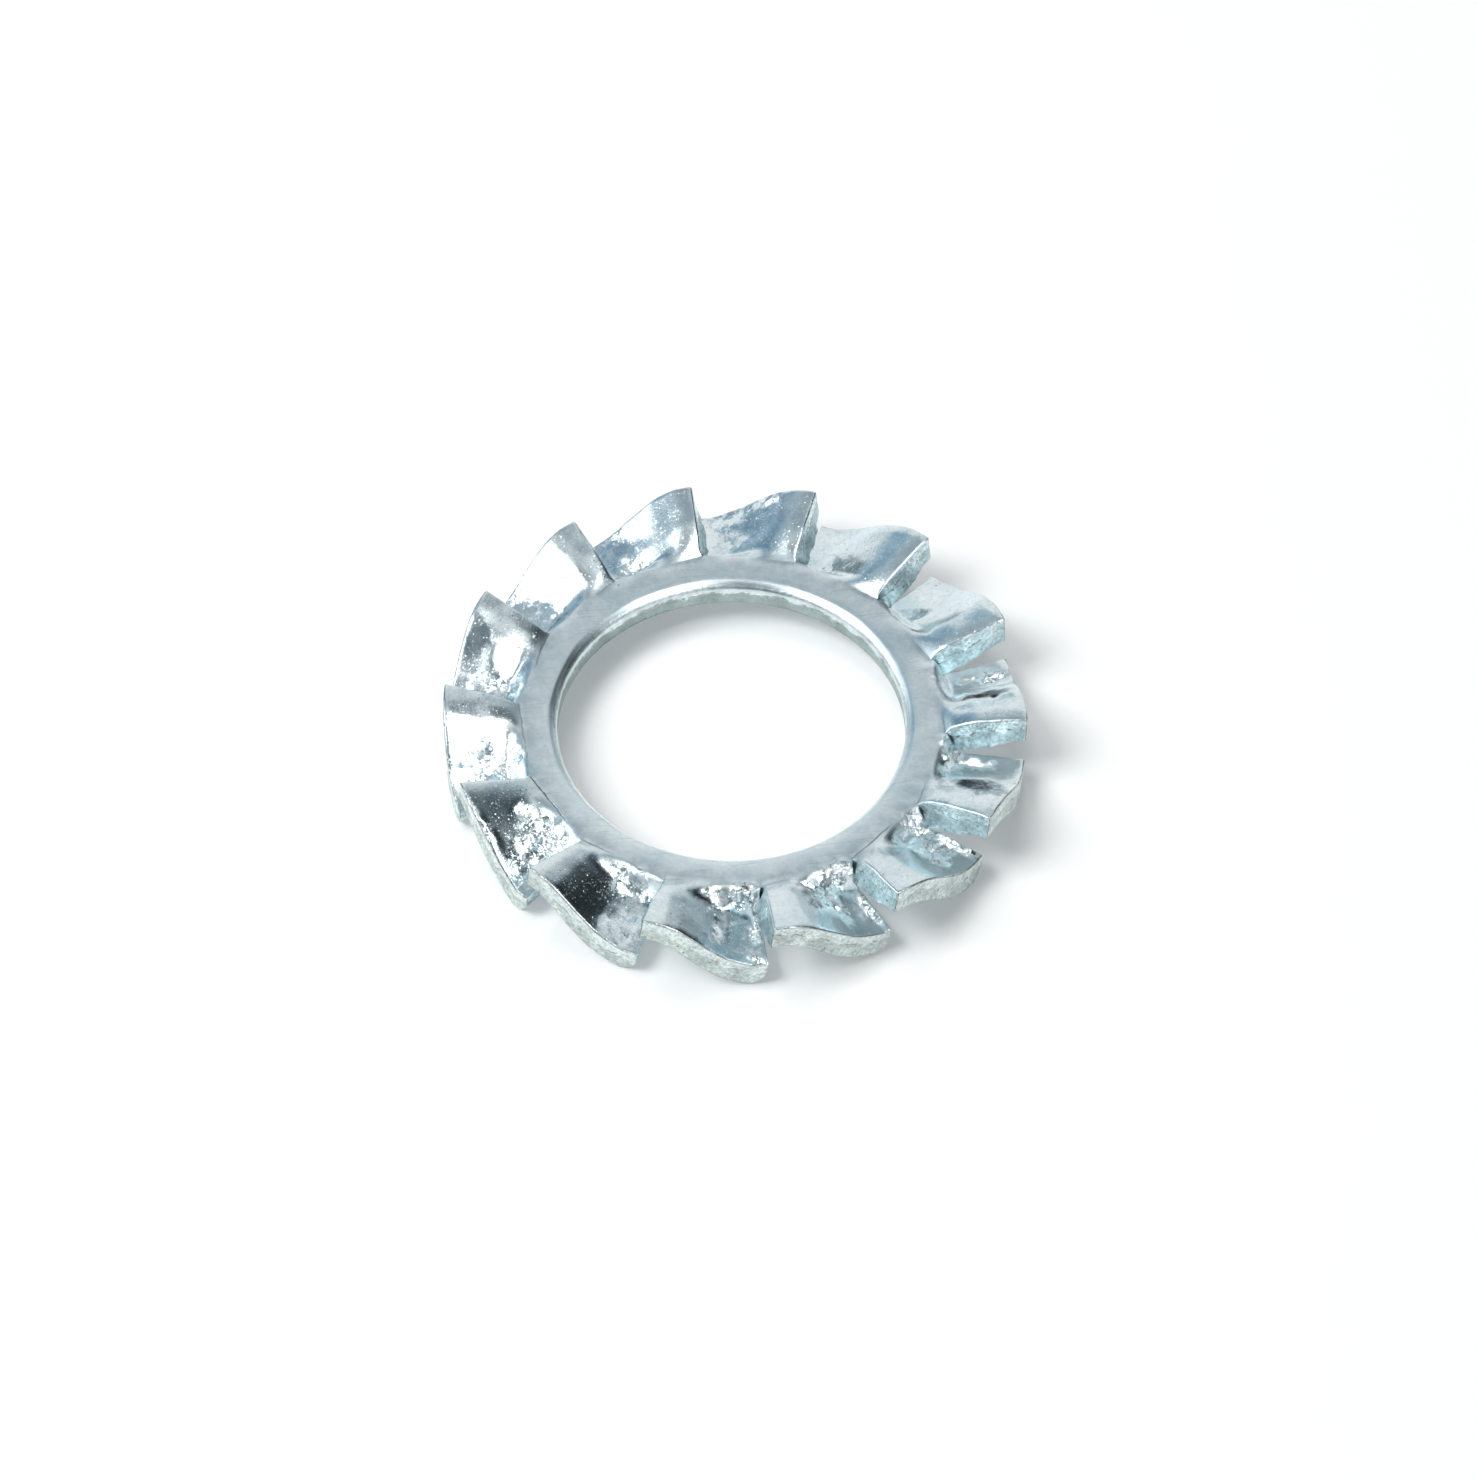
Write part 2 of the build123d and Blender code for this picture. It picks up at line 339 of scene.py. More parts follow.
def twist(number, angle, radius, depth, edge_angle, edge):
    """Bends the flat blank into the twisted tooth, turned to its place in the ring: the top
    is the sheet's height with dish and dents, the bottom is the same S a sheet lower with a
    round foot under its low end, and depth runs evenly from one to the other.  Points and
    their notes."""
    tooth = TOOTH_ROWS[number]
    turned = 2 * pi * number / TEETH
    radius = np.minimum(radius, OUTER / np.maximum(np.cos(angle + turned), 0.5))   # stays in the box
    x, y = radius * np.cos(angle), radius * np.sin(angle)
    out = x - ROOT_LINE
    across = np.clip(angle / edge_angle, -1, 1)
    ring_x, ring_y = x * cos(turned) - y * sin(turned), x * sin(turned) + y * cos(turned)
    crushed, lean_out, lean_across = crushed_share(across, out, number)
    lean_x = lean_out * cos(turned) - lean_across * sin(turned)
    lean_y = lean_out * sin(turned) + lean_across * cos(turned)
    dish = ring_dish(radius, out)
    top = (SHEET + sheet_height(across, out, tooth) + dish
           + hammered(ring_x, ring_y, across, out, number, crushed))
    low = fall_share(out, tooth.steepness)
    foot = FOOT * (0.4 + 0.6 * low) * ease(out / 0.25)
    into_foot = np.clip(y - (HALF_TOOTH / OUTER * x - foot), 0, foot)
    bottom = (sheet_height(across + 0.16 * low * (1 - across**2), out, tooth) + dish
              + foot - np.sqrt(np.maximum(foot**2 - into_foot**2, 0)))
    z = np.clip(RING_BOTTOM + top + (bottom - top) * depth / SHEET, 0.0, HEIGHT)
    strength, reach_across = SCORE_AND_SHADE.get(number, LIGHT_SCORE_AND_SHADE)
    scored_shade_depth = strength * ease((reach_across - across) / 0.35 + 0.5) * (depth < 0.2)
    notes = [out, depth, crushed, edge, scored_shade_depth, lean_x, lean_y]
    return np.stack([ring_x, ring_y, z], -1), np.stack(notes, -1)


# What goes with each point: its place out, its depth in the sheet, how crushed it is, where
# it is on an edge, how deeply the root line is scored and painted dark as shade in its crease,
# and how the crushed sheet leans.
NOTES = ("out", "depth", "crushed", "edge", "scored_shade_depth", "lean_x", "lean_y")

# places of the points over a worn edge, closer where it curves, and of those across a tooth
CORNER = np.array([0, 0.586, 1])
BORE_CORNER = np.array([0, 0.332, 0.586, 0.801, 1])
SPREAD = np.linspace(0, 1, 55)
SPREAD = SPREAD * (1.35 - 0.35 * SPREAD)
RING_ROWS = 5            # rows of points from the bore's bevel to the root line
TOOTH_STEPS = 32         # rows from there to the worn outer edge
WALL_STEPS = 4           # rows down a wall between its worn edges
EVEN_OUT = 3             # rounds in which the columns settle between the slits


def sector(number):
    """Points of one fourteenth of the washer, as grids, each with its notes: the top and the
    bottom sheet, the sheared outer band, the wall of the bore, and the two slit walls.  All
    are cut from one flat blank, whose rows are arcs and whose columns fan out evenly."""
    reach = TOOTH_ROWS[number].reach

    # rows: from the bore to the root line, then from there to the outer edge
    inner = len(BORE_CORNER) + RING_ROWS
    far_rows = np.concatenate([np.linspace(0, 1, TOOTH_STEPS + 1)[1:] * (1 - EDGE / (reach - ROOT)),
                               1 - CORNER[::-1][1:] * EDGE / (reach - ROOT)])
    rows = inner + len(far_rows)

    # columns: inset from the high edge, even spread, inset from the low edge
    inset = np.concatenate([CORNER, np.ones(len(SPREAD) - 2), CORNER[::-1]]) * EDGE
    spread = np.concatenate([[0, 0], SPREAD, [1, 1]])
    side = np.where(spread < 0.5, -1.0, 1.0)
    columns = len(inset)
    full = np.ones((rows, columns))
    past_side = np.tile(side * (EDGE - inset), (rows, 1))
    past_side[:inner - 1] = 0

    def blank(bevel):
        """Angle, radius and edge angle of each point of the flat blank, for a bevel of this
        height on the bore.  A column's angle is its share of the tooth's width there."""
        wide = bevel * BORE_STRETCH
        ring_rows = np.concatenate([BORE_CORNER * wide, np.linspace(wide, ROOT - BORE, RING_ROWS + 1)[1:]])
        ring_rows = ring_rows / (ROOT - BORE)
        angle = np.tile((spread * 2 - 1) * HALF_PITCH, (rows, 1))
        for _ in range(EVEN_OUT):
            root = ROOT_LINE / np.cos(angle)
            radius = np.empty((rows, columns))
            radius[:inner] = BORE + (root[:inner] - BORE) * ring_rows[:, None]
            radius[inner:] = root[inner:] + (reach - root[inner:]) * far_rows[:, None]
            along = np.maximum(radius - root, 0)
            edge_angle = HALF_PITCH - np.arcsin(SLIT * ease(along / 0.2) / radius)
            angle = (spread * 2 - 1) * (edge_angle - EDGE / radius) + side * (EDGE - inset) / radius
        return angle, radius, edge_angle

    def place(angle, radius, depth, past, edge_angle, worn):
        """Wears, tears and twists part of the blank."""
        angle, radius, depth, edge = wear_edges(angle, radius, depth, past, worn)
        angle, radius = tear_faces(number, angle, radius, depth, past[0], edge_angle)
        return twist(number, angle, radius, depth, edge_angle, edge)

    def face(bevel, depth, upwards):
        """The top or the bottom sheet, and what the walls take from it."""
        angle, radius, edge_angle = blank(bevel)
        worn = np.where(np.arange(rows) < inner, bevel, EDGE)[:, None] * full
        past_out = np.zeros((rows, columns))
        past_out[:len(BORE_CORNER)] = -((1 - BORE_CORNER) * bevel)[:, None]
        past_out[-len(CORNER):] = ((1 - CORNER[::-1]) * EDGE)[:, None]
        past = (past_side, past_out, upwards * worn)
        placed = place(angle, radius, depth * full, past, edge_angle, worn)
        return placed, (angle, radius, edge_angle, past_out)

    top, (angle, radius, edge_angle, past_out) = face(BORE_EDGE, 0.0, 1)
    bottom = face(BORE_BURR, SHEET, -1)[0]

    def wall(take, corner, upper, lower, outwards=None, sideways=None):
        """A strip through the sheet under a border row or column of the top, with edges of
        these sizes: upper above and lower below."""
        middle = np.linspace(upper, SHEET - lower, WALL_STEPS + 2)[1:-1]
        depths = np.concatenate([corner * upper, middle, SHEET - corner[::-1] * lower])[:, None]
        past_face = np.concatenate([(1 - corner) * upper, 0 * middle, (corner[::-1] - 1) * lower])[:, None]
        worn = np.where(np.arange(len(depths)) < len(corner) + WALL_STEPS, upper, lower)[:, None]
        ones = np.ones((len(depths), len(angle[take])))
        past = ((past_side[take] if sideways is None else sideways) * ones,
                (past_out[take] if outwards is None else outwards * worn) * ones,
                past_face * ones)
        return place(angle[take] * ones, radius[take] * ones, depths * ones, past,
                     edge_angle[take] * ones, worn * ones)

    band = wall((-1, slice(None)), CORNER, EDGE, EDGE, outwards=1)
    bore = wall((0, slice(None)), BORE_CORNER, BORE_EDGE, BORE_BURR, outwards=-1)
    high = wall((slice(inner - 1, None), 0), CORNER, EDGE, EDGE, sideways=-EDGE)
    low = wall((slice(inner - 1, None), -1), CORNER, EDGE, EDGE, sideways=EDGE)
    return top, bottom, band, bore, high, low


# the finish of each of those grids, and whether its faces are turned over to point outwards
PLATE, BAND_CUT, BORE_CUT, SLIT_CUT = range(4)
GRIDS = ((PLATE, True), (PLATE, False), (BAND_CUT, True), (BORE_CUT, False),
         (SLIT_CUT, True), (SLIT_CUT, False))


def grid_faces(rows, columns, start, flip):
    """Quads of a grid of points numbered row by row from start."""
    first = start + (np.arange(rows - 1)[:, None] * columns + np.arange(columns - 1)).ravel()
    quads = np.stack([first, first + 1, first + columns + 1, first + columns], 1)
    return quads[:, ::-1] if flip else quads


def build_washer():
    """Joins the fourteen sectors into one closed mesh, with the finish of each face and the
    notes that the materials follow."""
    points, notes, quads, finish = [], [], [], []
    count = 0
    for number in range(TEETH):
        for (grid, note), (grid_finish, flip) in zip(sector(number), GRIDS):
            rows, columns = grid.shape[:2]
            quads.append(grid_faces(rows, columns, count, flip))
            finish.append(np.full(len(quads[-1]), grid_finish))
            points.append(grid.reshape(-1, 3))
            notes.append(note.reshape(-1, len(NOTES)))
            count += rows * columns
    points, notes = np.concatenate(points) * MM, np.concatenate(notes)
    quads, finish = np.concatenate(quads), np.concatenate(finish)
    mesh = bpy.data.meshes.new("toothed_washer")
    mesh.from_pydata(points.tolist(), [], quads.tolist())
    mesh.polygons.foreach_set("material_index", finish.astype(np.int32))
    mesh.polygons.foreach_set("use_smooth", np.ones(len(quads), bool))
    for index, name in enumerate(NOTES):
        attribute = mesh.attributes.new(name, "FLOAT", "POINT")
        attribute.data.foreach_set("value", notes[:, index].astype(np.float32))
    work = bmesh.new()
    work.from_mesh(mesh)
    bmesh.ops.remove_doubles(work, verts=work.verts, dist=1e-7)
    open_edges = sum(1 for edge in work.edges if len(edge.link_faces) != 2)
    volume = work.calc_volume(signed=True) / MM**3
    work.to_mesh(mesh)
    work.free()
    print("washer mesh:", len(mesh.polygons), "quads", open_edges, "open edges", round(volume, 2), "mm3")
    washer = bpy.data.objects.new("toothed_washer", mesh)
    bpy.context.collection.objects.link(washer)
    return washer


# --- materials ---------------------------------------------------------------------

# settings that many nodes share
ADD, SUBTRACT, MULTIPLY, MULTIPLY_ADD, MAXIMUM, ABSOLUTE, SCALE = (
    {"operation": operation} for operation in (
        "ADD", "SUBTRACT", "MULTIPLY", "MULTIPLY_ADD", "MAXIMUM", "ABSOLUTE", "SCALE"))
SMOOTH = {"interpolation_type": "SMOOTHSTEP"}
COLOURS = {"data_type": "RGBA"}


def colour(code):
    """An sRGB hex code as linear red, green, blue and alpha."""
    values = [int(code[i:i + 2], 16) / 255 for i in (1, 3, 5)]
    return [v / 12.92 if v <= 0.04045 else ((v + 0.055) / 1.055) ** 2.4 for v in values] + [1.0]


def add(tree, kind, settings=(), **inputs):
    """Adds a node, sets its settings, and sets or links its inputs: _0 is the first socket,
    and a word is a socket's own name."""
    node = tree.nodes.new(kind)
    for name, value in dict(settings).items():
        setattr(node, name, value)
    for name, value in inputs.items():
        socket = node.inputs[int(name[1:]) if name[0] == "_" else name.replace("_", " ")]
        if isinstance(value, bpy.types.NodeSocket):
            tree.links.new(value, socket)
        else:
            socket.default_value = value
    return node


def new_material(name):
    """An empty material of this name, and its node tree."""
    material = bpy.data.materials.new(name)
    material.use_nodes = True
    material.node_tree.nodes.clear()
    return material, material.node_tree


def in_millimetres(tree):
    """The place of each point on the washer, in millimetres."""
    where = add(tree, "ShaderNodeTexCoord").outputs["Object"]
    return add(tree, "ShaderNodeMapping", Vector=where, Scale=(1 / MM, 1 / MM, 1 / MM)).outputs[0]


def worn_rim(tree, edge, fine, base, steel):
    """Brown steel that shows through the plate in a thin broken line on the outer rim: how
    strong the line is, and the plate's colour with it."""
    rim = add(tree, "ShaderNodeMapRange", Value=edge, From_Min=0.1, From_Max=0.5).outputs[0]
    broken = add(tree, "ShaderNodeMapRange", Value=fine, From_Min=0.45, From_Max=0.58,
                 To_Min=0.12).outputs[0]
    rim = add(tree, "ShaderNodeMath", MULTIPLY, _0=rim, _1=broken).outputs[0]
    return rim, add(tree, "ShaderNodeMix", COLOURS, _0=rim, _6=base, _7=colour(steel)).outputs[2]


def zinc_faces():
    """Bright zinc plate on the rolled and pressed faces of spring steel strip.  The ring keeps
    the satin of the rolled strip, cloudy, faintly blue and smudged, with painted shade that
    darkens it towards the roots, hairlines, a few dark pits, and a score along the root line
    painted dark as the shade in its crease.  The die has burnished the teeth, which mirror the
    room with small bright specks.  Where it crushed the sheet the plate is white and breaks
    into facets that each catch another light, with painted shade in the creases between them."""
    material, tree = new_material("bright_zinc_plate")
    mm = in_millimetres(tree)
    out, crushed, edge, scored_shade_depth, lean_x, lean_y = (
        add(tree, "ShaderNodeAttribute", {"attribute_name": note}).outputs["Fac"]
        for note in ("out", "crushed", "edge", "scored_shade_depth", "lean_x", "lean_y"))

    # the line where pressed teeth meet the ring wanders by 0.1 mm
    wander = add(tree, "ShaderNodeTexNoise", Vector=mm, Scale=2.2, Detail=3.0).outputs["Fac"]
    wandering = add(tree, "ShaderNodeMath", MULTIPLY_ADD, _0=wander, _1=0.35, _2=-0.17).outputs[0]
    place = add(tree, "ShaderNodeMath", ADD, _0=out, _1=wandering).outputs[0]
    pressed = add(tree, "ShaderNodeMapRange", SMOOTH, Value=place, From_Min=-0.08, From_Max=0.42).outputs[0]
    flat = add(tree, "ShaderNodeMath", SUBTRACT, _0=1.0, _1=pressed).outputs[0]

    # clouds 1.2 mm across, and finer ones of 0.15 mm, as zinc grows unevenly
    clouds = add(tree, "ShaderNodeTexNoise", Vector=mm, Scale=0.8, Detail=5.0, Roughness=0.6).outputs["Fac"]
    fine = add(tree, "ShaderNodeTexNoise", Vector=mm, Scale=7.0, Detail=4.0, Roughness=0.7).outputs["Fac"]
    tone = add(tree, "ShaderNodeMapRange", Value=clouds, From_Min=0.32, From_Max=0.68).outputs[0]
    base = add(tree, "ShaderNodeMix", COLOURS, _0=tone,
               _6=colour("#D2E2E8"), _7=colour("#EAF4F6")).outputs[2]
    speckled = add(tree, "ShaderNodeMapRange", Value=fine, From_Min=0.3, From_Max=0.7,
                   To_Min=0.90, To_Max=1.06).outputs[0]
    base = add(tree, "ShaderNodeVectorMath", SCALE, _0=base, Scale=speckled).outputs[0]

    # smudges that the bending drew out, streaked along the radius, and painted shade that darkens them
    # towards the roots, where the ring rolls down
    level = add(tree, "ShaderNodeVectorMath", MULTIPLY, _0=mm, _1=(1, 1, 0)).outputs[0]
    heading = add(tree, "ShaderNodeVectorMath", {"operation": "NORMALIZE"}, _0=level).outputs[0]
    drawn = add(tree, "ShaderNodeVectorMath", MULTIPLY_ADD, _0=heading, _1=(3, 3, 0), _2=level).outputs[0]
    streaks = add(tree, "ShaderNodeTexNoise", Vector=drawn, Scale=0.8, Detail=5.0,
                  Roughness=0.6).outputs["Fac"]
    margin = add(tree, "ShaderNodeMapRange", SMOOTH, Value=place, From_Min=-0.75, From_Max=-0.05).outputs[0]
    smudge_and_shade = add(tree, "ShaderNodeMapRange", SMOOTH, Value=streaks, From_Min=0.36, From_Max=0.70).outputs[0]
    for share in (margin, flat, 0.45):
        smudge_and_shade = add(tree, "ShaderNodeMath", MULTIPLY, _0=smudge_and_shade, _1=share).outputs[0]
    base = add(tree, "ShaderNodeMix", COLOURS, _0=smudge_and_shade, _6=base, _7=colour("#7F8F9E")).outputs[2]

    # hairlines 0.03 mm wide that run three ways over the ring
    hair = 0.0
    for turn, offset in ((0.4, 3.0), (1.5, 17.0), (2.5, 31.0)):
        along = add(tree, "ShaderNodeMapping", Vector=mm, Rotation=(0, 0, turn),
                    Location=(offset, offset, 0), Scale=(0.45, 14.0, 0.45)).outputs[0]
        line = add(tree, "ShaderNodeTexNoise", Vector=along, Scale=1.0, Detail=1.0).outputs["Fac"]
        line = add(tree, "ShaderNodeMapRange", Value=line, From_Min=0.70, From_Max=0.76).outputs[0]
        hair = add(tree, "ShaderNodeMath", MAXIMUM, _0=line, _1=hair).outputs[0]
    hair = add(tree, "ShaderNodeMath", MULTIPLY, _0=hair, _1=flat).outputs[0]

    # pits 0.05 mm wide, about one to the square millimetre
    cells = add(tree, "ShaderNodeTexVoronoi", Vector=mm, Scale=1.5).outputs
    pit = add(tree, "ShaderNodeMapRange", Value=cells["Distance"], From_Min=0.055, From_Max=0.03).outputs[0]
    chosen = add(tree, "ShaderNodeSeparateXYZ", Vector=cells["Color"]).outputs[0]
    some = add(tree, "ShaderNodeMath", {"operation": "GREATER_THAN"}, _0=chosen, _1=0.45).outputs[0]
    pit = add(tree, "ShaderNodeMath", MULTIPLY, _0=pit, _1=some).outputs[0]
    dark = add(tree, "ShaderNodeMath", MULTIPLY_ADD, _0=hair, _1=0.28, _2=pit).outputs[0]
    dark = add(tree, "ShaderNodeMath", MULTIPLY, _0=dark, _1=0.75).outputs[0]
    base = add(tree, "ShaderNodeMix", COLOURS, _0=dark, _6=base, _7=colour("#56636C")).outputs[2]

    # the score at the root, 0.05 mm wide and broken, cut in and painted dark as the shade in the root's
    # crease
    off = add(tree, "ShaderNodeMath", MULTIPLY_ADD, _0=wander, _1=0.12, _2=-0.06).outputs[0]
    off = add(tree, "ShaderNodeMath", ADD, _0=out, _1=off).outputs[0]
    off = add(tree, "ShaderNodeMath", ABSOLUTE, _0=off).outputs[0]
    score_line_shade = add(tree, "ShaderNodeMapRange", Value=off, From_Min=0.035, From_Max=0.012).outputs[0]
    for share in (scored_shade_depth, fine, 1.5):
        score_line_shade = add(tree, "ShaderNodeMath", MULTIPLY, _0=score_line_shade, _1=share).outputs[0]
    base = add(tree, "ShaderNodeMix", COLOURS, _0=score_line_shade, _6=base, _7=colour("#3F4A52")).outputs[2]

    # crushed plate: whiter, with painted shade darkening the creases between facets
    bent = add(tree, "ShaderNodeTexNoise", Vector=mm, Scale=5.0, Detail=2.0).outputs["Color"]
    bent = add(tree, "ShaderNodeVectorMath", MULTIPLY_ADD, _0=bent, _1=(0.22, 0.22, 0.22), _2=mm).outputs[0]
    white = add(tree, "ShaderNodeMath", {"operation": "MULTIPLY", "use_clamp": True},
                _0=crushed, _1=0.9).outputs[0]
    base = add(tree, "ShaderNodeMix", COLOURS, _0=white, _6=base, _7=colour("#EEF6F8")).outputs[2]
    creases = add(tree, "ShaderNodeTexVoronoi", {"feature": "DISTANCE_TO_EDGE"}, Vector=bent, Scale=3.1)
    painted_crease_shade = add(tree, "ShaderNodeMapRange", Value=creases.outputs["Distance"],
                 From_Min=0.07, From_Max=0.01, To_Max=1.3).outputs[0]
    deep = add(tree, "ShaderNodeMapRange", SMOOTH, Value=crushed, From_Min=0.4, From_Max=0.8).outputs[0]
    for share in (deep, fine):
        painted_crease_shade = add(tree, "ShaderNodeMath", MULTIPLY, _0=painted_crease_shade, _1=share).outputs[0]
    base = add(tree, "ShaderNodeMix", COLOURS, _0=painted_crease_shade, _6=base, _7=colour("#2A3843")).outputs[2]
    rim, base = worn_rim(tree, edge, fine, base, "#6E6660")

    # satin on the ring, burnish on the teeth, and duller where it is cloudy, crushed or worn
    rough = add(tree, "ShaderNodeMix", {"data_type": "FLOAT"}, _0=pressed, _2=0.30, _3=0.16).outputs[0]
    for where, more in ((clouds, 0.10), (white, 0.06), (smudge_and_shade, 0.15), (rim, 0.3)):
        rough = add(tree, "ShaderNodeMath", MULTIPLY_ADD, _0=where, _1=more, _2=rough).outputs[0]

    # facets: the crushed plate leans one way, and each cell of three patterns its own.  The
    # cells are 0.36, 0.15 and 0.07 mm wide
    leaning = add(tree, "ShaderNodeNewGeometry").outputs["Normal"]
    lean = add(tree, "ShaderNodeCombineXYZ", X=lean_x, Y=lean_y).outputs[0]
    leaning = add(tree, "ShaderNodeVectorMath", ADD, _0=leaning, _1=lean).outputs[0]
    for scale, tilt in ((2.8, 0.50), (6.5, 0.45), (15.0, 0.35)):
        facet = add(tree, "ShaderNodeTexVoronoi", Vector=bent, Scale=scale).outputs["Color"]
        facet = add(tree, "ShaderNodeVectorMath", SUBTRACT, _0=facet, _1=(0.5, 0.5, 0.5)).outputs[0]
        amount = add(tree, "ShaderNodeMath", MULTIPLY, _0=crushed, _1=tilt).outputs[0]
        facet = add(tree, "ShaderNodeVectorMath", SCALE, _0=facet, Scale=amount).outputs[0]
        leaning = add(tree, "ShaderNodeVectorMath", ADD, _0=leaning, _1=facet).outputs[0]

    # specks on the burnished teeth, 0.02 mm wide and drawn twice that to show, gathered in streaks
    speck = add(tree, "ShaderNodeTexVoronoi", Vector=mm, Scale=30.0).outputs["Color"]
    chosen = add(tree, "ShaderNodeSeparateXYZ", Vector=speck).outputs[2]
    amount = add(tree, "ShaderNodeMapRange", Value=chosen, From_Min=0.84, From_Max=1.0,
                 To_Max=0.75).outputs[0]
    gathered = add(tree, "ShaderNodeMapRange", Value=streaks, From_Min=0.42, From_Max=0.62,
                   To_Min=0.45, To_Max=1.2).outputs[0]
    for share in (pressed, gathered):
        amount = add(tree, "ShaderNodeMath", MULTIPLY, _0=amount, _1=share).outputs[0]
    speck = add(tree, "ShaderNodeVectorMath", SUBTRACT, _0=speck, _1=(0.5, 0.5, 0.9)).outputs[0]
    speck = add(tree, "ShaderNodeVectorMath", SCALE, _0=speck, Scale=amount).outputs[0]
    leaning = add(tree, "ShaderNodeVectorMath", ADD, _0=leaning, _1=speck).outputs[0]
    leaning = add(tree, "ShaderNodeVectorMath", {"operation": "NORMALIZE"}, _0=leaning).outputs[0]

    # the grain stands 2 micrometres high; pits, hairlines and the score are cut into it
    height = add(tree, "ShaderNodeTexNoise", Vector=mm, Scale=14.0, Detail=3.0,
                 Roughness=0.6).outputs["Fac"]
    for where, more in ((clouds, 3.0), (dark, -2.0), (score_line_shade, -6.0)):
        height = add(tree, "ShaderNodeMath", MULTIPLY_ADD, _0=where, _1=more, _2=height).outputs[0]
    bump = add(tree, "ShaderNodeBump", Strength=1.0, Distance=0.003 * MM, Height=height,
               Normal=leaning).outputs[0]
    shader = add(tree, "ShaderNodeBsdfPrincipled", Base_Color=base, Metallic=1.0,
                 Roughness=rough, Normal=bump)
    add(tree, "ShaderNodeOutputMaterial", Surface=shader.outputs["BSDF"])
    return material


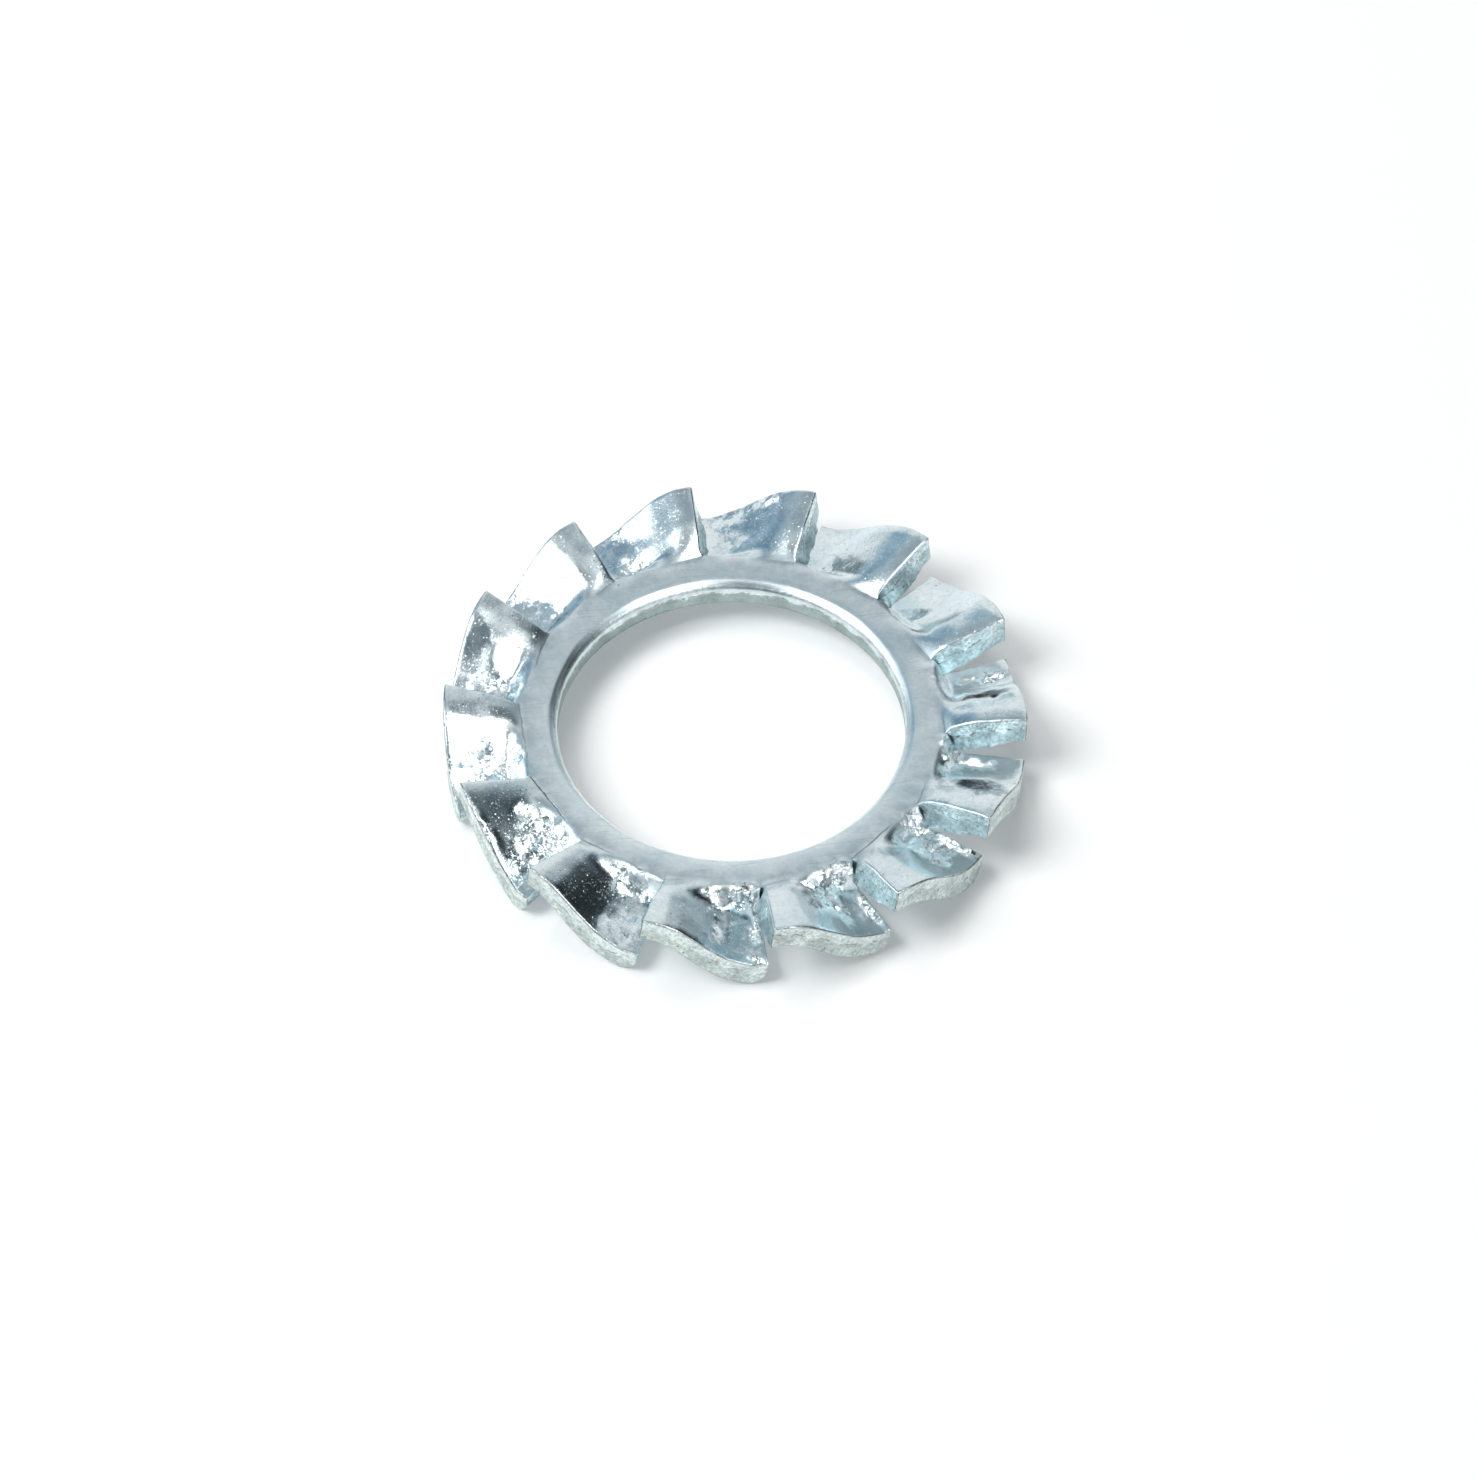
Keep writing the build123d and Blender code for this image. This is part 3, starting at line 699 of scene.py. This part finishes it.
def zinc_sheared(name, clean, torn, roughness, grain, uneven):
    """Zinc plate on an edge that shears cut.  The upper two fifths are burnished by the blade,
    smooth and pale with fine lines through the sheet; below a broken dark line the steel tore,
    and the plate is matt, mottled and pitted.  clean and torn are the two colours, grain the
    height of the roughness in millimetres, and uneven the share by which the mottle darkens."""
    material, tree = new_material(name)
    mm = in_millimetres(tree)
    depth, edge = (add(tree, "ShaderNodeAttribute", {"attribute_name": note}).outputs["Fac"]
                   for note in ("depth", "edge"))
    clouds = add(tree, "ShaderNodeTexNoise", Vector=mm, Scale=1.6, Detail=4.0, Roughness=0.6).outputs["Fac"]
    fine = add(tree, "ShaderNodeTexNoise", Vector=mm, Scale=9.0, Detail=5.0, Roughness=0.75).outputs["Fac"]

    # where the cut turns into a tear, 0.4 mm down and wandering by 0.1 mm
    down = add(tree, "ShaderNodeMath", MULTIPLY_ADD, _0=clouds, _1=-0.5, _2=depth).outputs[0]
    down = add(tree, "ShaderNodeMath", MULTIPLY_ADD, _0=fine, _1=-0.14, _2=down).outputs[0]
    tear = add(tree, "ShaderNodeMapRange", SMOOTH, Value=down, From_Min=0.04, From_Max=0.12).outputs[0]
    base = add(tree, "ShaderNodeMix", COLOURS, _0=tear, _6=colour(clean), _7=colour(torn)).outputs[2]
    for pattern, low, high, darkest, lightest in ((fine, 0.34, 0.64, 1 - uneven, 1 + uneven / 2),
                                                  (clouds, 0.36, 0.60, 0.80, 1.08)):
        mottle = add(tree, "ShaderNodeMapRange", Value=pattern, From_Min=low, From_Max=high,
                     To_Min=darkest, To_Max=lightest).outputs[0]
        base = add(tree, "ShaderNodeVectorMath", SCALE, _0=base, Scale=mottle).outputs[0]

    # the dark line itself, and pits 0.06 mm wide below it
    line = add(tree, "ShaderNodeMath", SUBTRACT, _0=down, _1=0.05).outputs[0]
    line = add(tree, "ShaderNodeMath", ABSOLUTE, _0=line).outputs[0]
    line = add(tree, "ShaderNodeMapRange", Value=line, From_Min=0.030, From_Max=0.008,
               To_Max=0.7).outputs[0]
    some = add(tree, "ShaderNodeTexNoise", Vector=mm, Scale=2.7, Detail=2.0).outputs["Fac"]
    some = add(tree, "ShaderNodeMapRange", Value=some, From_Min=0.46, From_Max=0.58).outputs[0]
    line = add(tree, "ShaderNodeMath", MULTIPLY, _0=line, _1=some).outputs[0]
    cells = add(tree, "ShaderNodeTexVoronoi", Vector=mm, Scale=5.5).outputs
    pit = add(tree, "ShaderNodeMapRange", Value=cells["Distance"], From_Min=0.24, From_Max=0.10).outputs[0]
    chosen = add(tree, "ShaderNodeSeparateXYZ", Vector=cells["Color"]).outputs[0]
    pitted = add(tree, "ShaderNodeMapRange", Value=chosen, From_Min=0.62, From_Max=0.9).outputs[0]
    for share in (pitted, tear):
        pit = add(tree, "ShaderNodeMath", MULTIPLY, _0=pit, _1=share).outputs[0]
    dark = add(tree, "ShaderNodeMath", MAXIMUM, _0=line, _1=pit).outputs[0]
    base = add(tree, "ShaderNodeMix", COLOURS, _0=dark, _6=base, _7=colour("#575E5C")).outputs[2]

    # the outer rim is worn, and a painted highlight whitens the worn edges of the slits and the bore
    base = worn_rim(tree, edge, fine, base, "#6B5D55")[1]
    burr = add(tree, "ShaderNodeMapRange", Value=edge, From_Min=-0.3, From_Max=-0.9, To_Max=0.8).outputs[0]
    base = add(tree, "ShaderNodeMix", COLOURS, _0=burr, _6=base, _7=colour("#F2F8F9")).outputs[2]
    rough = add(tree, "ShaderNodeMath", MULTIPLY_ADD, _0=tear, _1=0.16, _2=roughness).outputs[0]
    rough = add(tree, "ShaderNodeMath", MULTIPLY_ADD, _0=clouds, _1=0.10, _2=rough).outputs[0]

    # blade lines through the sheet, 0.05 mm apart, drawn 0.09 mm apart to show
    lines = add(tree, "ShaderNodeMapping", Vector=mm, Scale=(11.0, 11.0, 1.2)).outputs[0]
    height = add(tree, "ShaderNodeTexNoise", Vector=lines, Scale=1.0, Detail=2.0).outputs["Fac"]
    for where, more in ((fine, 3.0), (dark, -3.0), (clouds, 4.0)):
        height = add(tree, "ShaderNodeMath", MULTIPLY_ADD, _0=where, _1=more, _2=height).outputs[0]
    bump = add(tree, "ShaderNodeBump", Strength=1.0, Distance=grain * MM, Height=height).outputs[0]
    shader = add(tree, "ShaderNodeBsdfPrincipled", Base_Color=base, Metallic=1.0,
                 Roughness=rough, Normal=bump)
    add(tree, "ShaderNodeOutputMaterial", Surface=shader.outputs["BSDF"])
    return material


washer = build_washer()
for material in (zinc_faces(),
                 zinc_sheared("zinc_plate_on_sheared_edge", "#EAF6F4", "#DAE6E2", 0.32, 0.016, 0.42),
                 zinc_sheared("zinc_plate_on_pierced_bore", "#DCE8EA", "#A8B8B6", 0.20, 0.003, 0.15),
                 zinc_sheared("zinc_plate_on_slit_walls", "#DCEFF3", "#C6DDE2", 0.16, 0.006, 0.42)):
    washer.data.materials.append(material)
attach(washer, "root")
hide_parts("washer")


# --- floor, light and camera ---------------------------------------------------------

def white_floor():
    """Plain white ground, a sheet of matt paper: white to the eye and in the metal, where it
    glows a little besides, and grey where the washer shades it."""
    material, tree = new_material("white_ground")
    path = add(tree, "ShaderNodeLightPath").outputs
    seen = path["Is Camera Ray"]
    for ray in ("Is Glossy Ray", "Is Transmission Ray"):
        seen = add(tree, "ShaderNodeMath", MAXIMUM, _0=seen, _1=path[ray]).outputs[0]
    glow = add(tree, "ShaderNodeMath", MULTIPLY, _0=seen, _1=0.14)
    matt = add(tree, "ShaderNodeBsdfDiffuse", Color=colour("#F3F4F4"))
    light = add(tree, "ShaderNodeEmission", Strength=glow.outputs[0])
    both = add(tree, "ShaderNodeAddShader", _0=matt.outputs[0], _1=light.outputs[0])
    add(tree, "ShaderNodeOutputMaterial", Surface=both.outputs[0])
    mesh = bpy.data.meshes.new("ground")
    half = 1.0                       # metres from the washer to the ground's sides
    corners = [(-half, -half, 0), (half, -half, 0), (half, half, 0), (-half, half, 0)]
    mesh.from_pydata(corners, [], [(0, 1, 2, 3)])
    mesh.materials.append(material)
    ground = bpy.data.objects.new("ground", mesh)
    bpy.context.collection.objects.link(ground)


VIEW_TURN = radians(-8.15)       # the camera's right, as an angle from +X
LAMP_DISTANCE = 0.5              # metres from the washer


def studio_point(azimuth, elevation, distance):
    """A point seen from the washer at this azimuth from the camera's right, in degrees."""
    a, e = radians(azimuth) + VIEW_TURN, radians(elevation)
    return Vector((cos(a) * cos(e), sin(a) * cos(e), sin(e))) * distance


def soft_box(name, azimuth, elevation, width, height, radiance, floor=True, metal=True):
    """A square lamp that faces the washer and has this brightness at its face.  The metal
    mirrors some of the lamps, and the others cast the shadow on the floor."""
    lamp = bpy.data.lights.new(name, "AREA")
    lamp.shape, lamp.size, lamp.size_y = "RECTANGLE", width, height
    lamp.energy = radiance * pi * width * height
    lamp_object = bpy.data.objects.new(name, lamp)
    place = studio_point(azimuth, elevation, LAMP_DISTANCE)
    lamp_object.location = place
    lamp_object.rotation_euler = place.to_track_quat("Z", "Y").to_euler()
    lamp_object.visible_diffuse, lamp_object.visible_glossy = floor, metal
    bpy.context.collection.objects.link(lamp_object)


def room_light():
    """A pale room as the metal mirrors it: each patch, full inside one angle and gone outside
    another, is painted over those before it.  Light that isn't mirrored is even, and the eye
    sees white."""
    world = bpy.data.worlds.new("pale_room")
    world.use_nodes = True
    tree = world.node_tree
    tree.nodes.clear()
    path = add(tree, "ShaderNodeLightPath").outputs
    where = add(tree, "ShaderNodeTexCoord").outputs["Generated"]
    shade = colour("#F6F6F6")
    for azimuth, elevation, inner, outer, code in (
            (108, 68, 8, 28, "#9CA8AF"),                  # dim middle of the ceiling
            (142, 30, 16, 30, "#94B0C2"),                 # blue wall at the far left
            (147, 32, 8, 18, "#748EA2"),
            (165, 50, 8, 22, "#A6B5C0"),
            (252, 45, 20, 48, "#66737A"),                 # dim side where the camera stands
            (16, 22, 27, 52, "#A4B0B7"),                  # the right side falls off
            (16, 42, 8, 32, "#566268"),
            (16, 22, 6, 32, "#0F1315")):                  # into its dark end
        toward = studio_point(azimuth, elevation, 1)
        along = add(tree, "ShaderNodeVectorMath", {"operation": "DOT_PRODUCT"}, _0=where, _1=toward)
        near = add(tree, "ShaderNodeMapRange", SMOOTH, Value=along.outputs["Value"],
                   From_Min=cos(radians(outer)), From_Max=cos(radians(inner))).outputs[0]
        shade = add(tree, "ShaderNodeMix", COLOURS, _0=near, _6=shade, _7=colour(code)).outputs[2]
    mirrored, plain, white = (
        add(tree, "ShaderNodeBackground", Color=light, Strength=1.0).outputs[0]
        for light in (shade, colour("#8C8F91"), colour("#FFFFFF")))
    mixed = add(tree, "ShaderNodeMixShader", Fac=path["Is Glossy Ray"], _1=plain, _2=mirrored).outputs[0]
    mixed = add(tree, "ShaderNodeMixShader", Fac=path["Is Camera Ray"], _1=mixed, _2=white).outputs[0]
    add(tree, "ShaderNodeOutputWorld", Surface=mixed)
    bpy.context.scene.world = world


def aim_camera():
    """The viewpoint: 51 degrees above the washer, 213 mm away, 171 mm lens.  It looks a little
    beside the middle of the ring's top, and is rolled by half a degree."""
    elevation, roll = radians(51.175), radians(0.441)
    away, aside, below = 39.67, 0.04, 0.112      # in radii of the bore's bevelled edge
    radius = 5.36 * MM
    sensor = 36.0                                # millimetres
    focal_length, frame_width = 7000, 1477       # pixels
    right, back = Vector((1, 0, 0)), Vector((0, -cos(elevation), sin(elevation)))
    up = back.cross(right)
    side = right * cos(roll) + up * sin(roll)
    top = up * cos(roll) - right * sin(roll)
    place = (back * away + side * aside - top * below) * radius
    turn = Matrix.Rotation(VIEW_TURN, 4, "Z")
    frame_matrix = Matrix((side, top, back)).transposed().to_4x4()
    camera = bpy.data.cameras.new("camera")
    camera.sensor_fit, camera.sensor_width = "HORIZONTAL", sensor
    camera.lens = sensor * focal_length / frame_width
    camera.clip_start, camera.clip_end = 0.01, 10.0
    camera_object = bpy.data.objects.new("camera", camera)
    bpy.context.collection.objects.link(camera_object)
    ring_top = Matrix.Translation((0, 0, (RING_BOTTOM + SHEET) * MM))
    camera_object.matrix_world = ring_top @ turn @ Matrix.Translation(place) @ frame_matrix
    bpy.context.scene.camera = camera_object


white_floor()
room_light()
soft_box("left_lamp", 208, 48, 0.34, 0.32, 2.6, floor=False)
soft_box("left_window", 166, 20, 0.14, 0.14, 2.2, floor=False)
soft_box("front_right_lamp", 317, 54, 0.32, 0.30, 2.6, floor=False)
soft_box("shadow_lamp", 194, 54, 0.26, 0.26, 8.4, metal=False)
soft_box("back_lamp", 120, 68, 0.22, 0.22, 3.6, metal=False)
aim_camera()
bpy.context.scene.view_settings.view_transform = "Standard"
